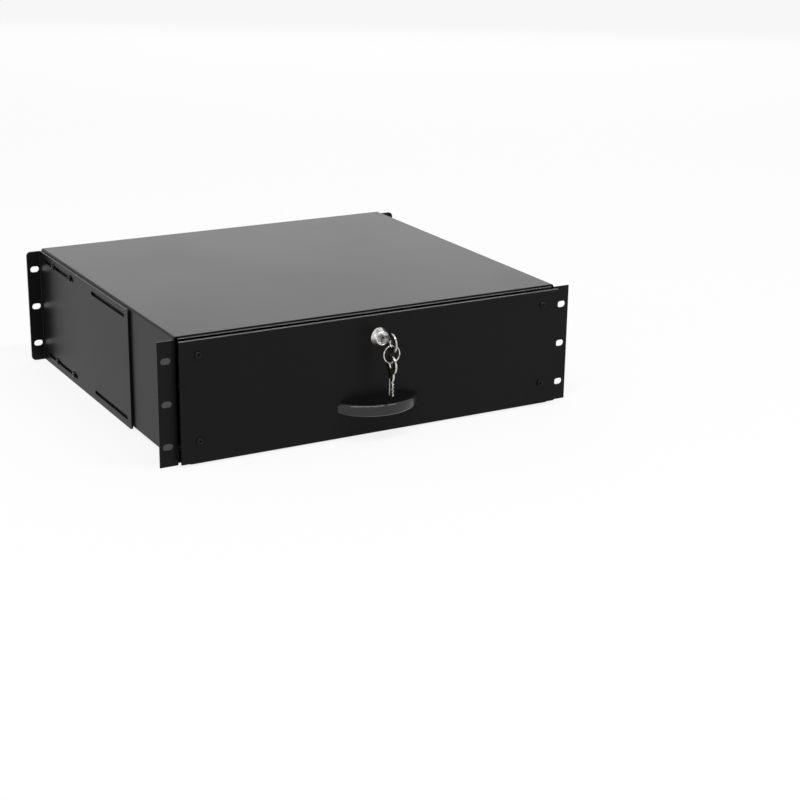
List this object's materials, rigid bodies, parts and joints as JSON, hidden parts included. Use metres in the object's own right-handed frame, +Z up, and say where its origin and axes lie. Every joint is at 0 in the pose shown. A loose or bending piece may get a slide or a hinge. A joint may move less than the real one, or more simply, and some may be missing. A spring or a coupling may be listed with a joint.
{
  "type": "sliding rack drawer",
  "caption": "Rack-mount drawer in black sheet steel on ball-bearing slides, with arched pull handle, cam lock with keys on a ring, slotted ears and adjustable rear brackets.",
  "frame": {"origin": "centre of the front ears' slot pattern, on the rear face of the ears, where they rest on the rack's front rails", "axes": "+X to the right as seen from the front, +Y towards the rear of the rack, +Z up"},
  "size_m": [0.4826, 0.4452, 0.1328],
  "materials": {
    "black_powder_coat": "satin black powder coat on folded sheet steel",
    "black_panel_coat": "fine satin black powder coat",
    "black_zinc": "black zinc plated screws",
    "zinc_plate": "bright zinc plate",
    "cage_steel": "plain steel strip",
    "bearing_steel": "polished balls",
    "handle_plastic": "glossy black moulding",
    "lock_chrome": "bright chrome plate",
    "key_nickel": "nickel plated, lightly polished"
  },
  "bodies": {
    "housing": {"housing_shell": "black_powder_coat", "rear_panel": "black_powder_coat", "floor_strap": "black_powder_coat", "bracket_rivet_nuts": "zinc_plate", "bracket_screws_left": "black_zinc", "bracket_screws_right": "black_zinc", "outer_member_left": "zinc_plate", "outer_member_right": "zinc_plate"},
    "bracket_left": {"rear_bracket_left": "black_powder_coat"},
    "bracket_right": {"rear_bracket_right": "black_powder_coat"},
    "drawer": {"drawer_tray": "black_powder_coat", "front_panel": "black_panel_coat", "panel_screws": "black_zinc", "panel_nuts": "zinc_plate", "handle": "handle_plastic", "handle_screws": "black_zinc", "slide_screws": "zinc_plate", "lock_barrel": "lock_chrome", "lock_nut": "zinc_plate", "inner_member_left": "zinc_plate", "inner_member_right": "zinc_plate"},
    "lock_plug_body": {"lock_plug": "lock_chrome", "lock_cam": "zinc_plate", "cam_screw": "zinc_plate"},
    "key": {"inserted_key": "key_nickel"},
    "ring": {"key_ring": "lock_chrome"},
    "spare": {"spare_key": "key_nickel"},
    "intermediate_left": {"intermediate_member_left": "zinc_plate"},
    "outer_cage_left": {"outer_cage_left": "cage_steel", "outer_balls_left": "bearing_steel"},
    "inner_cage_left": {"inner_cage_left": "cage_steel", "inner_balls_left": "bearing_steel"},
    "intermediate_right": {"intermediate_member_right": "zinc_plate"},
    "outer_cage_right": {"outer_cage_right": "cage_steel", "outer_balls_right": "bearing_steel"},
    "inner_cage_right": {"inner_cage_right": "cage_steel", "inner_balls_right": "bearing_steel"}
  },
  "joints": [
    {"name": "drawer_slide", "type": "slide", "parent": "housing", "child": "drawer", "axis": [0, -1, 0], "range_m": [0, 0.35]},
    {"name": "intermediate_left_slide", "type": "slide", "parent": "housing", "child": "intermediate_left", "axis": [0, -1, 0], "range_m": [0, 0.175]},
    {"name": "outer_cage_left_slide", "type": "slide", "parent": "housing", "child": "outer_cage_left", "axis": [0, -1, 0], "range_m": [0, 0.0875]},
    {"name": "inner_cage_left_slide", "type": "slide", "parent": "housing", "child": "inner_cage_left", "axis": [0, -1, 0], "range_m": [0, 0.2625]},
    {"name": "bracket_adjust_left", "type": "slide", "parent": "housing", "child": "bracket_left", "axis": [0, 1, 0], "range_m": [-0.027, 0.0095]},
    {"name": "intermediate_right_slide", "type": "slide", "parent": "housing", "child": "intermediate_right", "axis": [0, -1, 0], "range_m": [0, 0.175]},
    {"name": "outer_cage_right_slide", "type": "slide", "parent": "housing", "child": "outer_cage_right", "axis": [0, -1, 0], "range_m": [0, 0.0875]},
    {"name": "inner_cage_right_slide", "type": "slide", "parent": "housing", "child": "inner_cage_right", "axis": [0, -1, 0], "range_m": [0, 0.2625]},
    {"name": "bracket_adjust_right", "type": "slide", "parent": "housing", "child": "bracket_right", "axis": [0, 1, 0], "range_m": [-0.027, 0.0095]},
    {"name": "lock_turn", "type": "hinge", "parent": "drawer", "child": "lock_plug_body", "pos_m": [0, -0.0185, 0.041], "axis": [0, 1, 0], "range_deg": [0, 90]},
    {"name": "key_pull", "type": "slide", "parent": "lock_plug_body", "child": "key", "axis": [0, -1, 0], "range_m": [0, 0.02]},
    {"name": "ring_swing", "type": "hinge", "parent": "key", "child": "ring", "pos_m": [0, -0.037, 0.03845], "axis": [1, 0, 0], "range_deg": [-75, 12]},
    {"name": "spare_key_swing", "type": "hinge", "parent": "ring", "child": "spare", "pos_m": [0, -0.037, 0.02025], "axis": [1, 0, 0], "range_deg": [-45, 12]}
  ],
  "couplings": [
    {"joint": "intermediate_left_slide", "follows": "drawer_slide", "ratio": 0.5},
    {"joint": "outer_cage_left_slide", "follows": "drawer_slide", "ratio": 0.25},
    {"joint": "inner_cage_left_slide", "follows": "drawer_slide", "ratio": 0.75},
    {"joint": "intermediate_right_slide", "follows": "drawer_slide", "ratio": 0.5},
    {"joint": "outer_cage_right_slide", "follows": "drawer_slide", "ratio": 0.25},
    {"joint": "inner_cage_right_slide", "follows": "drawer_slide", "ratio": 0.75}
  ]
}
